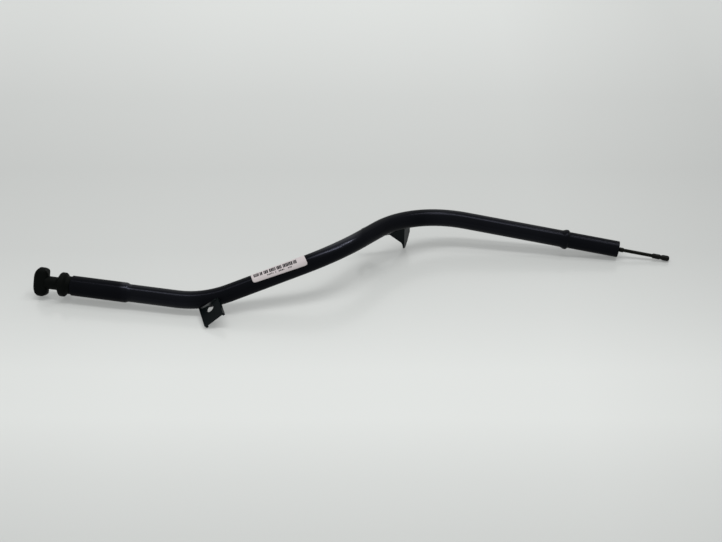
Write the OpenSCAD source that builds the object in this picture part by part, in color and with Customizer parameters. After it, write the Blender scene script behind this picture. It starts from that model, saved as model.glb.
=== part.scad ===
// Engine oil dipstick in its guide tube: a bent steel tube with a belled mouth and two
// welded brackets, and a flexible stick with a moulded T handle and a two-bulb gauge tip.
// Millimetres. Z is up, and the part lies on the plane z = 0 as it rests on a table.

/* [Guide tube] */
// outside diameter of the tube
tube_od = 16; // [14:0.5:20]
// wall thickness of the tube
tube_wall = 1.2; // [1:0.1:1.6]
// centreline radius of every bend
bend_r = 90; // [80:1:110]
// straight run from the mouth to the first bend
run_1 = 98.1; // [80:0.5:130]
// straight run between the first and second bends
run_2 = 69.5; // [60:0.5:90]
// straight run between the second and third bends
run_3 = 26.5; // [15:0.5:40]
// straight run from the third bend to the lower end
run_4 = 145.5; // [130:0.5:180]

/* [Mouth] */
// outside diameter of the belled mouth
mouth_od = 18.2; // [17:0.1:22]
// length of the belled mouth, up to its shoulder
mouth_len = 50.6; // [35:0.5:60]
// length over which the shoulder comes in to the tube
shoulder_len = 3.8; // [3:0.1:6]

/* [Lower end] */
// outside diameter of the end that goes into the engine block
spigot_od = 15.3; // [13:0.1:15.6]
// length of that end, from the stop bead to the cut edge
spigot_len = 46.7; // [35:0.5:60]
// how far the stop bead stands out of the tube
bead_rise = 1.3; // [0.8:0.1:2]
// length of the stop bead along the tube
bead_len = 8; // [6:0.1:10]

/* [Handle] */
// length of the T bar
grip_len = 26.2; // [24:0.1:36]
// thickness of the T bar from its outer face to its inner face
grip_thick = 13.3; // [11:0.1:16]
// width of the T bar across its narrow sides
grip_width = 10.9; // [10:0.1:14]
// turn of the T bar about the mouth, from upright
grip_turn = 28; // [0:1:90]
// diameter of the neck between the T bar and the bung
neck_od = 11.7; // [9:0.1:12]
// length of the neck
neck_len = 8.1; // [4:0.1:9]
// largest diameter of the bung
bung_od = 21.8; // [20:0.1:26]
// length of the bung outside the mouth
bung_len = 12.9; // [12:0.1:18]
// length of the shank inside the mouth
shank_len = 24; // [20:0.5:34]
// thickness of the two sealing rings
ring_wire = 2.4; // [2:0.1:2.6]

/* [Stick] */
// diameter of the flexible stick
stick_od = 2.7; // [2:0.1:3.2]
// length of the stick below the tube, to the end of the gauge tip
tip_reach = 48; // [40:0.5:60]
// diameter of the crimped stop sleeve at the tube's end
stop_od = 4.4; // [4:0.1:6]
// length of the stop sleeve
stop_len = 10; // [8:0.5:14]
// length of the moulded gauge tip
gauge_len = 16.2; // [14:0.1:24]
// diameter of the end bulb of the gauge tip
bulb_od = 5.2; // [4.6:0.1:6]

/* [Brackets] */
// thickness of the bracket plates
plate = 2; // [1.5:0.1:2.5]
// width of the upper bracket across its two turned sides
upper_width = 20.8; // [19:0.1:26]
// reach of the upper bracket from the tube's axis
upper_reach = 27.7; // [26:0.1:32]
// depth of the upper bracket's turned sides, with the plate
upper_side = 3.6; // [3.4:0.1:6]
// diameter of the upper bracket's bolt hole
upper_hole = 7.8; // [6:0.1:8.4]
// diameter of the lower bracket's bolt hole
lower_hole = 6.8; // [6:0.1:8.4]
// width of the lower bracket's rounded ear
ear_width = 18; // [16:0.1:20]
// depth of the turned edge beside the lower bracket's foot
edge_turn = 7.6; // [5:0.1:9]

/* [Label] */
// length of the paper label along the tube
label_len = 50.5; // [40:0.5:56]
// width of the label round the tube
label_width = 22; // [15:0.5:30]
// thickness of the label
label_thick = 0.16; // [0.1:0.01:0.3]
// gap under the label, which spans the start of a bend
label_gap = 0.1; // [0.1:0.01:0.3]
// distance from the first bend's end to the label
label_from = 23; // [15:0.5:30]

/* [Shown piece] */
// the piece that is drawn

/* [Hidden] */

$fn = 96;

black_paint = "#15151a";
black_plastic = "#121413";
black_rubber = "#1b1b1b";
dull_steel = "#5c5b57";
paper_grey = "#cbc2c2";

// Radii that follow from the sizes above.
tube_r = tube_od / 2;
bore_r = tube_r - tube_wall;
mouth_r = mouth_od / 2;
mouth_bore_r = mouth_r - tube_wall;
spigot_r = spigot_od / 2;
spigot_bore_r = spigot_r - tube_wall;
bead_end = run_4 - spigot_len;
stick_r = stick_od / 2;
fit_gap = 0.05;

// The bend table: each row is a straight run, the angle of the bend after it, and the turn
// of that bend's plane about the tube.
bends = [[run_1, 30, 32], [run_2, 40, -23.5], [run_3, 60, 190.5], [run_4, 0, 0]];

// Where the mouth lies on the table: its place, its heading and its slope.
lay_at = [-256.805, -25.451, 12.919];
lay_heading = -10.29;
lay_slope = 1.36;

// The brackets: how far round the bend each one sits, and how it is turned there.
upper_along = 17;
upper_turn = [-169, -29, 7];
lower_along = 18;
lower_turn = [99.5, -3.5, -19];

// Moves to the end of a straight run or of a bend. Inside, x runs along the tube.
module past_run(len) translate([len, 0, 0]) children();
module past_bend(angle, plane)
    rotate([plane, 0, 0]) translate([0, bend_r, 0]) rotate([0, 0, angle])
        translate([0, -bend_r, 0]) rotate([-plane, 0, 0]) children();

// Moves to the start of row i of the bend table, from the mouth.
module at_row(i) {
    if (i == 0) children();
    else at_row(i - 1) past_run(bends[i - 1][0]) past_bend(bends[i - 1][1], bends[i - 1][2])
        children();
}

// Moves from the tube's own frame at the mouth to where the part lies.
module laid() translate(lay_at) rotate([0, lay_slope, lay_heading]) children();

// A turned solid along x, from a profile of [radius, x] points.
module turned(points) rotate([0, 90, 0]) rotate_extrude() polygon(points);

// A rod along x.
module rod(r, from, to) translate([from, 0, 0]) rotate([0, 90, 0]) cylinder(r = r, h = to - from);

// The bend after row i: a ring section from an inner to an outer radius.
module bend_piece(i, r_out, r_in = 0)
    rotate([bends[i][2], 0, 0]) translate([0, bend_r, 0]) rotate([0, 0, -90])
        rotate_extrude(angle = bends[i][1]) translate([bend_r, 0])
            difference() {
                circle(r = r_out);
                if (r_in > 0) circle(r = r_in);
            }

// A short collar over each joint between a bend and a straight piece makes the two one
// solid. It stands out by a hair.
collar = 0.03;
module tie(r_out, r_in) difference() {
    rod(r_out + collar, -0.6, 0.6);
    if (r_in > 0) rod(r_in - collar, -1, 1);
}
module ties(r_out, r_in = 0) {
    for (i = [1:3]) at_row(i) tie(r_out, r_in);
    for (i = [0:2]) at_row(i) past_run(bends[i][0]) tie(r_out, r_in);
}

// A solid rod that follows the tube over the rows given.
module follow(r, first, last) {
    for (i = [first:last]) at_row(i) {
        rod(r, 0, bends[i][0]);
        if (bends[i][1] > 0) past_run(bends[i][0]) bend_piece(i, r);
    }
}

// An S curve between two [radius, x] points, left open at both ends.
function ease(t) = t * t * (3 - 2 * t);
function s_curve(a, b, n = 8) =
    [for (k = [1:n - 1]) [a[0] + (b[0] - a[0]) * ease(k / n), a[1] + (b[1] - a[1]) * k / n]];

// A quarter round edge of radius e, from angle a to angle b, about a centre.
function round_edge(c, e, a, b, n = 5) =
    [for (k = [0:n]) let (t = a + (b - a) * k / n) [c[0] + e * cos(t), c[1] + e * sin(t)]];

module mouth_run() {
    lip = tube_wall / 2;
    mid = mouth_r - tube_wall / 2;
    s0 = mouth_len;
    s1 = mouth_len + shoulder_len;
    turned(concat(
        [[mouth_bore_r, s0]],
        round_edge([mid, lip + 0.5], lip, 180, 360, 8),
        [[mouth_r, 3], [mouth_r, s0]],
        s_curve([mouth_r, s0], [tube_r, s1]),
        [[tube_r, s1], [tube_r, run_1], [bore_r, run_1], [bore_r, s1]],
        s_curve([bore_r, s1], [mouth_bore_r, s0])));
}

module spigot_run() {
    e = tube_wall / 2;
    mid = spigot_r - tube_wall / 2;
    b0 = bead_end - bead_len;
    top = bead_end - bead_len * 0.38;
    turned(concat(
        [[bore_r, 0], [tube_r, 0], [tube_r, b0]],
        s_curve([tube_r, b0], [tube_r + bead_rise, top - 0.7]),
        [[tube_r + bead_rise, top - 0.7], [tube_r + bead_rise, top + 0.7]],
        s_curve([tube_r + bead_rise, top + 0.7], [spigot_r, bead_end]),
        [[spigot_r, bead_end]],
        round_edge([mid, run_4 - e], e, 0, 180, 8),
        [[spigot_bore_r, bead_end]],
        s_curve([spigot_bore_r, bead_end], [bore_r, b0]),
        [[bore_r, b0]]));
}

module guide_tube() color(black_paint) laid() {
    mouth_run();
    past_run(run_1) bend_piece(0, tube_r, bore_r);
    at_row(1) difference() {
        rod(tube_r, 0, run_2);
        rod(bore_r, -1, run_2 + 1);
    }
    at_row(1) past_run(run_2) bend_piece(1, tube_r, bore_r);
    at_row(2) difference() {
        rod(tube_r, 0, run_3);
        rod(bore_r, -1, run_3 + 1);
    }
    at_row(2) past_run(run_3) bend_piece(2, tube_r, bore_r);
    at_row(3) spigot_run();
    ties(tube_r, bore_r);
}

// The upper bracket is a shallow channel. Its plate lies across x, it reaches out along y,
// and its two sides are turned down along z.
module upper_bracket() color(black_paint) laid() difference() {
    at_row(0) past_run(run_1) past_bend(upper_along, bends[0][2]) rotate(upper_turn)
        translate([0, 0, -0.55]) difference() {
            union() {
                translate([-upper_width / 2, 3, 0]) cube([upper_width, upper_reach - 3, plate]);
                for (side = [-1, 1])
                    translate([side * (upper_width / 2 - plate / 2), 0, 0])
                        rotate([0, -90, 0]) translate([0, 0, -plate / 2])
                            linear_extrude(plate)
                                polygon([[0, 3], [0, upper_reach], [upper_side, upper_reach],
                                         [upper_side, upper_reach - 3], [upper_side * 1.1, 8],
                                         [upper_side * 1.1, 3]]);
            }
            translate([0, tube_r + upper_hole / 2 + 1, -1])
                cylinder(d = upper_hole, h = plate + 2);
        }
    past_run(run_1) bend_piece(0, tube_r);
}

// The lower bracket is one flat plate with a rounded ear at one end and a narrow foot at the
// other, and the edge beside the foot is turned back.
module lower_bracket() color(black_paint) laid() difference() {
    ear_r = ear_width / 2;
    ear_at = [-31.5, -12.2];
    fold = 5;
    foot = -32.3;
    at_row(2) past_run(run_3) past_bend(lower_along, bends[2][2]) rotate(lower_turn)
        translate([0, 0, -2.5 - plate / 2]) {
            difference() {
                linear_extrude(plate) {
                    translate(ear_at) circle(d = ear_width);
                    polygon([ear_at + [0, ear_r], ear_at + [1, -ear_r + 0.1],
                             ear_at + [ear_r * 0.72, -ear_r * 0.7], [-19.5, -15.4], [-16, -14.8],
                             [-9.7, -14.7], [2, -25.8], [3.4, -28.8], [4.1, foot], [fold, foot],
                             [fold, 0], [-10, 0], [-14, -2], [-20, ear_at[1] + ear_r]]);
                }
                translate([ear_at[0], ear_at[1], -1]) cylinder(d = lower_hole, h = plate + 2);
            }
            translate([fold, 0, plate]) rotate([0, 32, 0]) translate([-0.01, 0, -plate])
                linear_extrude(plate)
                    polygon([[0, foot], [1.5, foot], [edge_turn * 0.6, foot + 6.4],
                             [edge_turn, foot + 15.7], [edge_turn, 0], [0, 0]]);
        }
    at_row(1) past_run(run_2 - 30) rod(tube_r, 0, 30);
    at_row(1) past_run(run_2) bend_piece(1, tube_r);
    at_row(2) rod(tube_r, 0, run_3);
    at_row(2) past_run(run_3) bend_piece(2, tube_r);
}

// The label is a strip bent round the tube, its middle 22 degrees past the top.
module label() color(paper_grey) laid() at_row(1) translate([label_from, 0, 0]) {
    wrap = label_width / (tube_r * PI) * 180;
    corner = 2;
    difference() {
        rotate([0, 90, 0]) rotate([0, 0, 158 - wrap / 2]) rotate_extrude(angle = wrap)
            translate([tube_r + label_gap, 0]) square([label_thick, label_len]);
        for (side = [-1, 1], end = [0, 1])
            rotate([-22 + side * (wrap / 2 - corner / (tube_r * PI) * 180), 0, 0])
                translate([end == 0 ? corner : label_len - corner, 0, 0])
                    mirror([end == 0 ? 0 : 1, 0, 0]) mirror([0, side == 1 ? 1 : 0, 0])
                        linear_extrude(tube_od) difference() {
                            translate([-corner - 1, -corner - 1])
                                square([corner + 1, corner + 1]);
                            circle(r = corner + 0.12);
                        }
    }
}

// A rectangle with round corners, from its lower left corner.
module rounded(at, size, r) {
    translate(at + [r, 0]) square(size - [2 * r, 0]);
    translate(at + [0, r]) square(size - [0, 2 * r]);
    for (x = [r, size[0] - r], y = [r, size[1] - r]) translate(at + [x, y]) circle(r = r);
}

// Places along the handle, outward from the rim of the mouth.
bung_gap = 0.9;
neck_start = bung_gap + bung_len;
grip_start = neck_start + neck_len;
grip_end = grip_start + grip_thick;
shank_r = mouth_bore_r - 0.35;
ring_r = mouth_bore_r - 0.06 - ring_wire / 2;
groove_r = ring_r - ring_wire / 2 - 0.02;
ring_at = [5.5, 12.5];

// The T bar is cut from three sides: a crowned profile, a rounded waist and rounded ends.
module grip() {
    half = grip_len / 2;
    crown_r = 19.3;
    profile_r = 5.9;
    waist_r = 3.8;
    end_r = 4.7;
    rotate([-grip_turn, 0, 0]) intersection() {
        rotate([90, 0, 0]) translate([0, 0, -grip_width]) linear_extrude(2 * grip_width)
            intersection() {
                rounded([-grip_end, -half], [grip_thick, grip_len], profile_r);
                translate([crown_r - grip_end, 0]) circle(r = crown_r);
            }
        translate([0, 0, -half]) linear_extrude(grip_len)
            rounded([-grip_end, -grip_width / 2], [grip_thick, grip_width], waist_r);
        rotate([0, -90, 0]) linear_extrude(grip_end + 1)
            rounded([-half, -grip_width / 2], [grip_len, grip_width], end_r);
    }
}

module handle() color(black_plastic) laid() {
    neck_r = neck_od / 2;
    bung_r = bung_od / 2;
    bung_in = bung_gap + 2.2;
    difference() {
        union() {
            grip();
            turned(concat(
                [[0, -grip_start - 2], [neck_r, -grip_start - 2], [neck_r, -neck_start]],
                s_curve([neck_r, -neck_start], [bung_r, -neck_start + 4.6]),
                [[bung_r, -neck_start + 4.6], [bung_r, -bung_in - 3.2]],
                s_curve([bung_r, -bung_in - 3.2], [mouth_r - 1, -bung_in]),
                [[mouth_r - 1, -bung_in], [mouth_r - 1, -bung_gap],
                 [shank_r, -bung_gap + 0.9]],
                [for (g = ring_at) each [[shank_r, g - ring_wire / 2 - 0.1],
                    [groove_r, g - ring_wire / 2 - 0.1], [groove_r, g + ring_wire / 2 + 0.1],
                    [shank_r, g + ring_wire / 2 + 0.1]]],
                [[shank_r, shank_len - 3], [shank_r - 2.2, shank_len], [0, shank_len]]));
        }
        rod(ferrule_r, shank_len - ferrule_in, shank_len + 1);
    }
}

module bung_ring(i) color(black_rubber) laid() translate([ring_at[i], 0, 0])
    rotate([0, 90, 0]) rotate_extrude() translate([ring_r, 0]) circle(d = ring_wire, $fn = 48);

module upper_bung_ring() bung_ring(0);
module lower_bung_ring() bung_ring(1);

// The ferrule is crimped on the stick and moulded into the shank.
ferrule_r = stick_r + 1;
ferrule_in = 10;
ferrule_out = 6;

module stick_ferrule() color(dull_steel) laid() difference() {
    turned([[0, shank_len - ferrule_in], [ferrule_r, shank_len - ferrule_in],
            [ferrule_r, shank_len + 1], [ferrule_r - 0.35, shank_len + 1.8],
            [ferrule_r - 0.35, shank_len + ferrule_out - 1.4],
            [ferrule_r, shank_len + ferrule_out - 0.7], [ferrule_r, shank_len + ferrule_out],
            [0, shank_len + ferrule_out]]);
    rod(stick_r, shank_len - ferrule_in + 1.5, shank_len + ferrule_out + 1);
}

// The stick is one flexible rod that follows the tube from the ferrule to the gauge tip.
stick_from = shank_len - ferrule_in + 1.5;
stick_to = run_4 + tip_reach - gauge_len + 5;

module stick() color(dull_steel) laid() {
    rod(stick_r, stick_from, run_1);
    past_run(run_1) bend_piece(0, stick_r);
    follow(stick_r, 1, 2);
    at_row(3) rod(stick_r, 0, stick_to);
    ties(stick_r);
}

module stop_sleeve() color(dull_steel) laid() at_row(3) difference() {
    r = stop_od / 2;
    a = run_4 + 5 - stop_len;
    turned([[0, a], [r - 0.3, a], [r, a + 0.5], [r, a + stop_len * 0.35],
            [r - 0.3, a + stop_len * 0.42], [r - 0.3, a + stop_len * 0.58],
            [r, a + stop_len * 0.65], [r, a + stop_len - 0.6], [r - 0.4, a + stop_len],
            [0, a + stop_len]]);
    rod(stick_r + fit_gap, a - 1, a + stop_len + 1);
}

module gauge_tip() color(black_plastic) laid() at_row(3) difference() {
    b = bulb_od / 2;
    a = run_4 + tip_reach - gauge_len;
    waist = a + gauge_len - 8.2;
    end = a + gauge_len;
    turned(concat(
        [[0, a], [b - 0.8, a], [b - 0.25, a + 1]],
        [[b - 0.25, waist - 1.2]],
        s_curve([b - 0.25, waist - 1.2], [b - 0.75, waist], 4),
        [[b - 0.75, waist]],
        s_curve([b - 0.75, waist], [b, waist + 2.4], 4),
        [[b, waist + 2.4], [b, end - 1.9]],
        round_edge([b - 1.9, end - 1.9], 1.9, 15, 90, 5),
        [[0, end]]));
    rod(stick_r + fit_gap, a - 1, stick_to + fit_gap);
}

guide_tube();
upper_bracket();
lower_bracket();
label();
handle();
upper_bung_ring();
lower_bung_ring();
stick_ferrule();
stick();
stop_sleeve();
gauge_tip();
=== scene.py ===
"""Looks for the engine oil dipstick in its guide tube.

Lengths are in millimetres and angles in degrees, as in the CAD. Places in a material, on the
stage and of the lights are in metres, as in the frame.
"""
import math
import random

import bmesh
import bpy
from mathutils import Matrix, Vector


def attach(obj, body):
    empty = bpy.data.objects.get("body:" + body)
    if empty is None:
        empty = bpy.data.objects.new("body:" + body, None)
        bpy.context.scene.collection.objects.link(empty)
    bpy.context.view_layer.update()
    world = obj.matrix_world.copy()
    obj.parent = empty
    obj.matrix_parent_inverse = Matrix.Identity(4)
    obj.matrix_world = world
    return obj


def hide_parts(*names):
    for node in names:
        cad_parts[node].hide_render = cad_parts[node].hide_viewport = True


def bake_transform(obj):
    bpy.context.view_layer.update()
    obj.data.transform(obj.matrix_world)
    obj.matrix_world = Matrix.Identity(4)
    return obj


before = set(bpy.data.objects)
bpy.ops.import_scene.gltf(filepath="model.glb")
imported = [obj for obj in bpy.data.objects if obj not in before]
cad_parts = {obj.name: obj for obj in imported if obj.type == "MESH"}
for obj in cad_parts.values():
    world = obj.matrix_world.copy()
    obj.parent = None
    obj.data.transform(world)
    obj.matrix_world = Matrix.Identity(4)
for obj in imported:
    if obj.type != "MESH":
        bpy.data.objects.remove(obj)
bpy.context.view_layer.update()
MM = 0.001

# The tube's bend table, as in the CAD: straight run, bend angle, turn of the bend's plane.
BENDS = [(98.1, 30.0, 32.0), (69.5, 40.0, -23.5), (26.5, 60.0, 190.5), (145.5, 0.0, 0.0)]
BEND_R = 90.0
TUBE_R = 8.0
LAY = (-256.805, -25.451, 12.919)
HEADING, SLOPE = -10.29, 1.36

# The stick, as thick as the photo shows it. Each place is a row of the bend table and the way
# along its run.
STICK_R = 1.65
STICK_FROM = (0, 15.5)
HALVES_MEET = (1, 35.0)
STICK_TO = (3, 182.3)
STICK_SIDES = 20

# The label: where it starts on the second run, its flat size, and its front edge, turned from
# the tube's top and a little skewed over its length.
LABEL_FROM, LABEL_LEN, LABEL_W = 23.0, 50.5, 22.0
LABEL_CORNER = 2.0
LABEL_FRONT, LABEL_SKEW = -52.3, -11.7
PAPER_GRID = (64, 36)
INK_STEP = 0.6

# How far the paper's two faces and the print stand off the tube.
PAPER_UNDER, PAPER_OVER, INK_OVER = 0.03, 0.13, 0.15

# The welds: spacing of their rings, points round a ring, radius, and how it shrinks at the ends,
# ripples along the bead and varies by chance.
WELD_STEP, WELD_SIDES = 0.55, 12
WELD_R = 1.15
WELD_ENDS = (0.35, 0.8)
WELD_RIPPLE, RIPPLE_PACE, WELD_CHANCE = 0.13, 2.1, 0.07

rng = random.Random(6515)


# The tube's path.
def turn(angle, axis):
    return Matrix.Rotation(math.radians(angle), 4, axis)


def shift(x, y=0.0):
    return Matrix.Translation((x, y, 0))


def past_bend(angle, plane):
    """The move round a bend of radius BEND_R, in a plane that is turned about the run."""
    return turn(plane, "X") @ shift(0, BEND_R) @ turn(angle, "Z") @ shift(0, -BEND_R) @ turn(-plane, "X")


def row(i):
    """The frame at the start of row i's straight run, with X along it."""
    m = Matrix.Translation(LAY) @ turn(HEADING, "Z") @ turn(SLOPE, "Y")
    for run, angle, plane in BENDS[:i]:
        m = m @ shift(run) @ past_bend(angle, plane)
    return m


def bent_at(i, angle):
    """The frame that lies angle into row i's bend."""
    run, _, plane = BENDS[i]
    return row(i) @ shift(run) @ past_bend(angle, plane)


def route(start, end, run_step=3.0, bend_step=2.0):
    """Frames along the tube's centreline from start to end."""
    (first, from_x), (last, to_x) = start, end
    mats = []
    for i in range(first, last + 1):
        run, angle, _ = BENDS[i]
        low = from_x if i == first else 0.0
        high = to_x if i == last else run
        skip = 1 if mats else 0
        n = max(1, round((high - low) / run_step))
        mats += [row(i) @ shift(low + (high - low) * k / n) for k in range(skip, n + 1)]
        if i < last:
            n = max(1, round(angle / bend_step))
            mats += [bent_at(i, angle * k / n) for k in range(1, n + 1)]
    return mats


# Meshes.
pieces = bpy.data.collections.new("pieces")
bpy.context.scene.collection.children.link(pieces)


def new_object(name, bm, mat):
    for f in bm.faces:
        f.smooth = True
    mesh = bpy.data.meshes.new(name)
    bm.to_mesh(mesh)
    bm.free()
    mesh.materials.append(mat)
    obj = bpy.data.objects.new(name, mesh)
    pieces.objects.link(obj)
    return obj


def tube_of_rings(name, rings, mat):
    """A closed piece through rings of points, in millimetres."""
    bm = bmesh.new()
    rings = [[bm.verts.new(p * MM) for p in ring] for ring in rings]
    sides = len(rings[0])
    for a, b in zip(rings, rings[1:]):
        for s in range(sides):
            t = (s + 1) % sides
            bm.faces.new((a[s], a[t], b[t], b[s]))
    bm.faces.new(rings[0][::-1])
    bm.faces.new(rings[-1])
    bmesh.ops.recalc_face_normals(bm, faces=bm.faces)
    return new_object(name, bm, mat)


def round_rod(name, mats, radius, sides, mat):
    """A round rod through a list of frames."""
    angles = [2 * math.pi * s / sides for s in range(sides)]
    circle = [Vector((0, radius * math.cos(a), radius * math.sin(a))) for a in angles]
    return tube_of_rings(name, [[m @ p for p in circle] for m in mats], mat)


# Shader nodes. BROAD is the scale of a finish's patches of colour, as a share of its grain's.
BROAD = 0.06


def add_node(tree, kind, inputs=None, **settings):
    """The outputs of a new node. Each input is a value or another node's output."""
    n = tree.nodes.new("ShaderNode" + kind)
    for name, value in settings.items():
        setattr(n, name, value)
    for name, value in (inputs or {}).items():
        if isinstance(value, bpy.types.NodeSocket):
            tree.links.new(value, n.inputs[name])
        else:
            n.inputs[name].default_value = value
    return n.outputs


def new_material(name):
    m = bpy.data.materials.new(name)
    m.use_nodes = True
    return m, m.node_tree, m.node_tree.nodes["Principled BSDF"].inputs


def grey(v, tint=(1.0, 1.0, 1.0)):
    return (v * tint[0], v * tint[1], v * tint[2], 1.0)


def ramp(tree, source, stops):
    """A colour that goes from stop to stop, each a place from 0 to 1 and its colour."""
    n = tree.nodes.new("ShaderNodeValToRGB")
    marks = n.color_ramp.elements
    marks[0].position, marks[0].color = stops[0]
    marks[1].position, marks[1].color = stops[-1]
    for place, colour in stops[1:-1]:
        marks.new(place).color = colour
    tree.links.new(source, n.inputs["Fac"])
    return n.outputs["Color"]


def mask(tree, source, stops, tint=(1.0, 1.0, 1.0)):
    """A tone that changes with a coordinate, straight between the stops."""
    low, high = stops[0][0], stops[-1][0]
    place = add_node(tree, "MapRange", {"Value": source, "From Min": low, "From Max": high})
    return ramp(tree, place["Result"], [((p - low) / (high - low), grey(v, tint)) for p, v in stops])


def calculate(tree, operation, a, b):
    return add_node(tree, "Math", {0: a, 1: b}, operation=operation)["Value"]


def mix(tree, factor, a, b, blend="MIX"):
    return add_node(tree, "Mix", {"Factor": factor, "A": a, "B": b},
                    data_type="RGBA", blend_type=blend)["Result"]


def split(tree, vector):
    return add_node(tree, "SeparateXYZ", {"Vector": vector})


def place_on(tree):
    """Where a point lies on the part, in metres."""
    return split(tree, add_node(tree, "TexCoord")["Object"])


def facing_of(tree):
    """The way that the surface faces."""
    return split(tree, add_node(tree, "NewGeometry")["Normal"])


def finish(name, base, wear, rough, spec, bump, grain, tint=(1.0, 1.0, 1.0), metal=0.0):
    """A finish with broad patches of colour, and fine changes of roughness and relief.

    base and wear are the two colours, rough the two roughnesses, bump the relief's strength and
    its height in metres, and grain the fine pattern's scale.
    """
    m, tree, bsdf = new_material(name)
    coords = add_node(tree, "TexCoord")["Object"]
    broad = add_node(tree, "TexNoise", {"Vector": coords, "Scale": grain * BROAD, "Detail": 3.0,
                                        "Roughness": 0.55})["Fac"]
    fine = add_node(tree, "TexNoise", {"Vector": coords, "Scale": grain, "Detail": 6.0,
                                       "Roughness": 0.6})["Fac"]
    tree.links.new(ramp(tree, broad, [(0.3, (*base, 1.0)), (0.75, (*wear, 1.0))]), bsdf["Base Color"])
    tree.links.new(ramp(tree, fine, [(0.3, grey(rough[0])), (0.72, grey(rough[1]))]), bsdf["Roughness"])
    relief = add_node(tree, "Bump", {"Strength": bump[0], "Distance": bump[1], "Height": fine})
    tree.links.new(relief["Normal"], bsdf["Normal"])
    bsdf["Specular IOR Level"].default_value = spec
    bsdf["Specular Tint"].default_value = (*tint, 1.0)
    bsdf["Metallic"].default_value = metal
    return m


def paint_highlight_over(mat, where, colour):
    """Show a lighter colour over the paint where the mask is 1, as a painted highlight."""
    tree = mat.node_tree
    socket = tree.nodes["Principled BSDF"].inputs["Base Color"]
    paint = socket.links[0].from_socket
    tree.links.new(mix(tree, where, paint, colour), socket)


# Tube paint. Its gloss changes along the tube: dull on the mouth, over the bends and at the end,
# and glossier on the first and last runs. The tops of the shoulder and the second bend are
# rubbed bright. Each stop is a place along X and the gloss, or the share, that it has there.
GLOSS_ALONG_X = [(-0.212, 0.02), (-0.2, 0.085), (-0.152, 0.085), (-0.136, 0.032),
                 (0.06, 0.032), (0.08, 0.085), (0.17, 0.085), (0.20, 0.035)]
RUBBED_ALONG_X = [(-0.212, 0.0), (-0.207, 0.16), (-0.204, 0.16), (-0.2, 0.0),
                  (-0.045, 0.0), (-0.02, 0.2), (-0.006, 0.19), (0.004, 0.0)]
FACES_UP = [(0.66, 0.0), (0.88, 1.0)]

tube_paint = finish("tube_paint", base=(0.0042, 0.0046, 0.0058), wear=(0.0054, 0.0058, 0.0074),
                    rough=(0.17, 0.25), spec=0.052, tint=(0.72, 0.75, 1.0),
                    bump=(0.05, 0.0002), grain=420.0)
tree = tube_paint.node_tree
place = place_on(tree)
rubbed = calculate(tree, "MULTIPLY", mask(tree, place["X"], RUBBED_ALONG_X),
                   mask(tree, facing_of(tree)["Z"], FACES_UP))
gloss = calculate(tree, "ADD", rubbed, mask(tree, place["X"], GLOSS_ALONG_X))
tree.links.new(gloss, tree.nodes["Principled BSDF"].inputs["Specular IOR Level"])

# Bracket paint. Where the lower bracket's faces look along X, as on its turned edge, a lighter grey is
# painted on as a highlight.
LOWER_FROM = [(0.0, 0.0), (0.01, 1.0)]
FACES_ALONG = [(0.35, 0.0), (0.6, 1.0)]
BRACKET_COLOURS = {"base": (0.0020, 0.0036, 0.0040), "wear": (0.0032, 0.0052, 0.0056)}

bracket_paint = finish("bracket_paint", **BRACKET_COLOURS, rough=(0.26, 0.42), spec=0.10,
                       tint=(0.85, 0.95, 1.0), bump=(0.08, 0.0002), grain=500.0)
tree = bracket_paint.node_tree
# Painted highlight: the lower bracket's faces that look along X get a lighter grey.
painted_highlight_edge = calculate(tree, "MULTIPLY", mask(tree, place_on(tree)["X"], LOWER_FROM),
                        mask(tree, facing_of(tree)["X"], FACES_ALONG))
paint_highlight_over(bracket_paint, painted_highlight_edge, (0.085, 0.088, 0.090, 1.0))

# Weld paint. One spot of the upper bracket's weld is painted lighter grey, as a painted glint.
PAINTED_GLINT_SPOT = [(-0.139, 0.0), (-0.136, 1.0), (-0.132, 1.0), (-0.129, 0.0)]

weld_paint = finish("weld_paint", **BRACKET_COLOURS, rough=(0.3, 0.45), spec=0.12,
                    tint=(0.85, 0.95, 1.0), bump=(0.2, 0.0002), grain=1400.0)
tree = weld_paint.node_tree
# Painted glint: a lighter grey on one spot of the upper weld.
paint_highlight_over(weld_paint, mask(tree, place_on(tree)["X"], PAINTED_GLINT_SPOT), (0.12, 0.122, 0.125, 1.0))

# The other finishes.
handle_plastic = finish("handle_plastic", base=(0.0022, 0.0027, 0.0024), wear=(0.0034, 0.0040, 0.0036),
                        rough=(0.5, 0.66), spec=0.05, tint=(0.95, 1.0, 0.97),
                        bump=(0.25, 0.0001), grain=2200.0)
rubber = finish("ring_rubber", base=(0.004, 0.004, 0.004), wear=(0.007, 0.007, 0.007),
                rough=(0.5, 0.7), spec=0.2, bump=(0.1, 0.0001), grain=1500.0)
steel = finish("stick_steel", base=(0.0035, 0.0042, 0.0030), wear=(0.0075, 0.0080, 0.0060),
               rough=(0.32, 0.5), spec=0.15, bump=(0.15, 0.0001), grain=1800.0, metal=0.7)
tip_plastic = finish("tip_plastic", base=(0.0016, 0.0019, 0.0012), wear=(0.0034, 0.0038, 0.0028),
                     rough=(0.4, 0.55), spec=0.12, bump=(0.15, 0.0001), grain=2000.0)
paper = finish("label_paper", base=(0.58, 0.52, 0.528), wear=(0.66, 0.605, 0.61),
               rough=(0.5, 0.62), spec=0.3, bump=(0.06, 0.00005), grain=1600.0)
ink = finish("label_ink", base=(0.006, 0.005, 0.007), wear=(0.016, 0.014, 0.017),
             rough=(0.45, 0.6), spec=0.2, bump=(0.05, 0.00005), grain=1600.0)

for node, mat in {"guide_tube": tube_paint, "upper_bracket": bracket_paint,
                  "lower_bracket": bracket_paint, "label": paper, "handle": handle_plastic,
                  "upper_bung_ring": rubber, "lower_bung_ring": rubber, "stick_ferrule": steel,
                  "stop_sleeve": steel, "gauge_tip": tip_plastic}.items():
    for material_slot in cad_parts[node].material_slots:
        material_slot.material = mat
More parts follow.
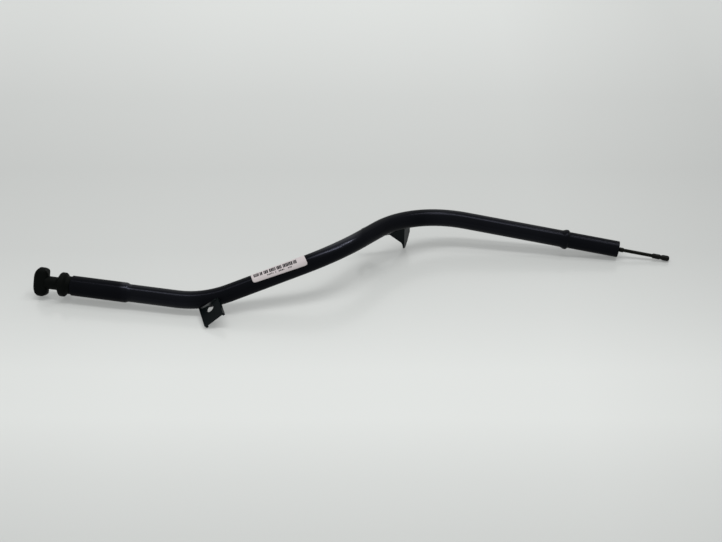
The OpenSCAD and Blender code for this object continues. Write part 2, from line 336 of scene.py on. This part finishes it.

# The stick is flexible: each half follows the tube.
upper_half = round_rod("stick_upper_half", route(STICK_FROM, HALVES_MEET), STICK_R, STICK_SIDES, steel)
lower_half = round_rod("stick_lower_half", route(HALVES_MEET, STICK_TO), STICK_R, STICK_SIDES, steel)
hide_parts("stick")
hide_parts("stick")
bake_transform(upper_half)
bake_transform(lower_half)


# The paper label follows the tube into the start of the next bend.
def label_point(along, around, lift):
    """A point along the label from its left end and around the tube from its front edge."""
    x = LABEL_FROM + along
    run = BENDS[1][0]
    m = row(1) @ shift(x) if x <= run else bent_at(1, math.degrees((x - run) / BEND_R))
    a = math.radians(LABEL_FRONT + LABEL_SKEW * along / LABEL_LEN) + around / TUBE_R
    r = TUBE_R + lift
    return (m @ Vector((0, r * math.sin(a), r * math.cos(a)))) * MM


def label_sheet():
    """A thin closed strip with round corners."""
    bm = bmesh.new()
    n, k = PAPER_GRID
    layers = []
    for lift in (PAPER_UNDER, PAPER_OVER):
        grid = []
        for i in range(k + 1):
            u = LABEL_W * i / k
            d = min(u, LABEL_W - u, LABEL_CORNER)
            inset = LABEL_CORNER - math.sqrt(max(LABEL_CORNER ** 2 - (LABEL_CORNER - d) ** 2, 0.0))
            grid.append([bm.verts.new(label_point(inset + (LABEL_LEN - 2 * inset) * j / n, u, lift))
                         for j in range(n + 1)])
        layers.append(grid)
        for i in range(k):
            for j in range(n):
                bm.faces.new((grid[i][j], grid[i][j + 1], grid[i + 1][j + 1], grid[i + 1][j]))
    under, over = layers
    edge = ([(0, j) for j in range(n)] + [(i, n) for i in range(k)]
            + [(k, j) for j in range(n, 0, -1)] + [(i, 0) for i in range(k, 0, -1)])
    for (i, j), (p, q) in zip(edge, edge[1:] + edge[:1]):
        bm.faces.new((under[i][j], under[p][q], over[p][q], over[i][j]))
    bmesh.ops.recalc_face_normals(bm, faces=bm.faces)
    return new_object("paper_label", bm, paper)


def print_stroke(bm, x, width, bottom, top, slant):
    """One printed stroke across the label, cut up so that it bends with the tube."""
    n = max(2, math.ceil((top - bottom) / INK_STEP))
    grid = [[bm.verts.new(label_point(side + slant * k / n, bottom + (top - bottom) * k / n, INK_OVER))
             for k in range(n + 1)] for side in (x, x + width)]
    for k in range(n):
        bm.faces.new((grid[0][k], grid[1][k], grid[1][k + 1], grid[0][k + 1]))


def print_row(bm, x, groups, widths, spaces, slant, ends):
    """Groups of strokes from x on. A group is its number of strokes and the gap after it."""
    for count, gap in groups:
        for _ in range(count):
            width = rng.choice(widths)
            bottom, top = ends()
            print_stroke(bm, x, width, bottom, top, slant)
            x += width + rng.choice(spaces)
        x += gap


def label_print():
    """Generic print: bars in uneven groups over a line of small marks."""
    bm = bmesh.new()
    print_row(bm, 2.2, ((5, 0.7), (2, 0.98), (3, 0.91), (5, 0.77), (4, 0.91), (7, 0.63), (3, 0.0)),
              widths=(0.7, 0.9, 1.1, 1.35), spaces=(0.2, 0.25, 0.3), slant=0.25,
              ends=lambda: (4.7 + rng.uniform(0, 0.25), 9.3))
    print_row(bm, 14.0, ((5, 1.2), (1, 2.0), (4, 3.0), (3, 0.0)),
              widths=(0.7, 0.9, 1.1), spaces=(0.3, 0.4, 0.5), slant=0.1,
              ends=lambda: (2.6, 3.9 - rng.uniform(0, 0.4)))
    bmesh.ops.recalc_face_normals(bm, faces=bm.faces)
    return new_object("label_print", bm, ink)


label_piece = label_sheet()
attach(label_piece, "tube")
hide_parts("label")
printed = label_print()
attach(printed, "tube")

# Weld beads where the bracket plates meet the tube.
SPINE = [m @ Vector((0, 0, 0)) for m in route((0, 59.1), (3, 60.0), 0.5, 0.3)]


def off_tube(p):
    return min((p - q).length for q in SPINE) - TUBE_R


def where_plate_enters(plate, x, outside, z, halvings=22):
    """The point on the tube's surface at x and z of a plate's frame, between y 0 and outside."""
    a, b = 0.0, outside
    for _ in range(halvings):
        mid = (a + b) / 2
        if off_tube(plate @ Vector((x, mid, z))) < 0:
            a = mid
        else:
            b = mid
    return plate @ Vector((x, (a + b) / 2, z))


def weld(name, plate, z, x0, x1, outside):
    """A rippled bead along the line where the plane z of a plate's frame enters the tube."""
    n = round(abs(x1 - x0) / WELD_STEP)
    points = [where_plate_enters(plate, x0 + (x1 - x0) * k / n, outside, z) for k in range(n + 1)]
    angles = [2 * math.pi * i / WELD_SIDES for i in range(WELD_SIDES)]
    rings = []
    for k, p in enumerate(points):
        t = (points[min(k + 1, n)] - points[max(k - 1, 0)]).normalized()
        side = t.orthogonal().normalized()
        other = t.cross(side)
        end = min(k, n - k)
        r = WELD_R * (WELD_ENDS[end] if end < len(WELD_ENDS) else 1.0)
        r *= 1.0 + WELD_RIPPLE * math.sin(k * RIPPLE_PACE) + rng.uniform(-WELD_CHANCE, WELD_CHANCE)
        rings.append([p + (side * math.cos(a) + other * math.sin(a)) * r for a in angles])
    obj = tube_of_rings(name, rings, weld_paint)
    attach(obj, "tube")


def turned(x, y, z):
    """How a bracket's plate is turned from the tube's frame."""
    return turn(z, "Z") @ turn(y, "Y") @ turn(x, "X")


UPPER = bent_at(0, 17.0) @ turned(-169.0, -29.0, 7.0)
LOWER = bent_at(2, 18.0) @ turned(99.5, -3.5, -19.0)
weld("upper_weld_front", UPPER, -0.55, -8.5, 8.5, 14.0)
weld("upper_weld_back", UPPER, 1.45, -8.5, 8.5, 14.0)
weld("lower_weld_front", LOWER, -3.5, -7.5, 4.0, -14.0)
weld("lower_weld_back", LOWER, -1.5, -14.0, 4.0, -14.0)

# Stage: a pale glossy table that runs on behind the part, partly lit from within so that shadows stay as
# soft as the photo's; this glow is painted light, as the table is no lamp. Its tone goes lighter and
# darker from front to back and from left to right, as painted light and shade.
TABLE_HALF = 6.0
TABLE_SHADE, TABLE_GLOW = 0.55, 0.33
TABLE_TINT = (0.996, 1.006, 0.996)
PAINTED_LIGHT_ALONG_Y = [(-0.33, 0.73), (-0.26, 0.79), (-0.19, 0.87), (-0.13, 0.86), (-0.05, 0.77),
                (0.05, 0.68), (0.2, 0.64), (0.36, 0.69), (0.62, 0.85)]
PAINTED_LIGHT_ALONG_X = [(-0.40, 0.96), (-0.18, 1.0), (0.03, 1.0), (0.18, 0.985), (0.40, 0.85)]

table_top, tree, bsdf = new_material("table")
place = place_on(tree)
# Painted light and shade on the table's colour and glow, from front to back and from left to right.
tone = mix(tree, 1.0, mask(tree, place["Y"], PAINTED_LIGHT_ALONG_Y, TABLE_TINT),
           mask(tree, place["X"], PAINTED_LIGHT_ALONG_X, TABLE_TINT), "MULTIPLY")
tree.links.new(mix(tree, 1.0, tone, grey(TABLE_SHADE), "MULTIPLY"), bsdf["Base Color"])
# Painted light: the table glows in its tone, though it is no lamp.
tree.links.new(tone, bsdf["Emission Color"])
bsdf["Emission Strength"].default_value = TABLE_GLOW
bsdf["Roughness"].default_value = 0.2
bsdf["Specular IOR Level"].default_value = 0.42
bm = bmesh.new()
bmesh.ops.create_grid(bm, x_segments=2, y_segments=2, size=TABLE_HALF)
table = new_object("table", bm, table_top)

# Light: an even pale room, a wide lamp behind the part, a long strip over it that draws the
# highlight along the tube, and a small window lamp to the right.
scene = bpy.context.scene
world = bpy.data.worlds.new("room")
scene.world = world
world.use_nodes = True
room = world.node_tree.nodes["Background"].inputs
room["Color"].default_value = (0.93, 0.95, 0.94, 1)
room["Strength"].default_value = 0.46


def lamp(name, place, target, size, watts, roll=0.0):
    """A rectangular lamp at place that shines at target, rolled about its own axis."""
    data = bpy.data.lights.new(name, "AREA")
    data.shape = "RECTANGLE"
    data.size, data.size_y = size
    data.energy = watts
    obj = bpy.data.objects.new(name, data)
    obj.location = place
    obj.rotation_euler = (Vector(target) - Vector(place)).to_track_quat("-Z", "Y").to_euler()
    obj.rotation_euler.rotate_axis("Z", math.radians(roll))
    scene.collection.objects.link(obj)


lamp("backdrop", (0.0, 2.2, 1.6), (0.0, 0.0, 0.0), (3.2, 1.6), 7.5)
lamp("strip", (0.05, 0.10, 1.6), (0.05, 0.0, 0.0), (1.62, 0.32), 12.5, roll=-4.0)
lamp("window", (0.74, 0.55, 1.58), (0.0, 0.0, 0.0), (0.3, 0.3), 4.0)

# Camera at the photograph's angle: its place, how far it looks down and its lens.
CAMERA_AT = (2.77, -988.79, 703.33)
CAMERA_DOWN = 35
LENS, SENSOR = 65.82, 36.0

cam_data = bpy.data.cameras.new("camera")
cam_data.lens = LENS
cam_data.sensor_width = SENSOR
cam_data.clip_start, cam_data.clip_end = 0.01, 50.0
cam = bpy.data.objects.new("camera", cam_data)
cam.location = Vector(CAMERA_AT) * MM
cam.rotation_euler = (math.radians(90 - CAMERA_DOWN), 0, 0)
scene.collection.objects.link(cam)
scene.camera = cam
scene.view_settings.view_transform = "Standard"
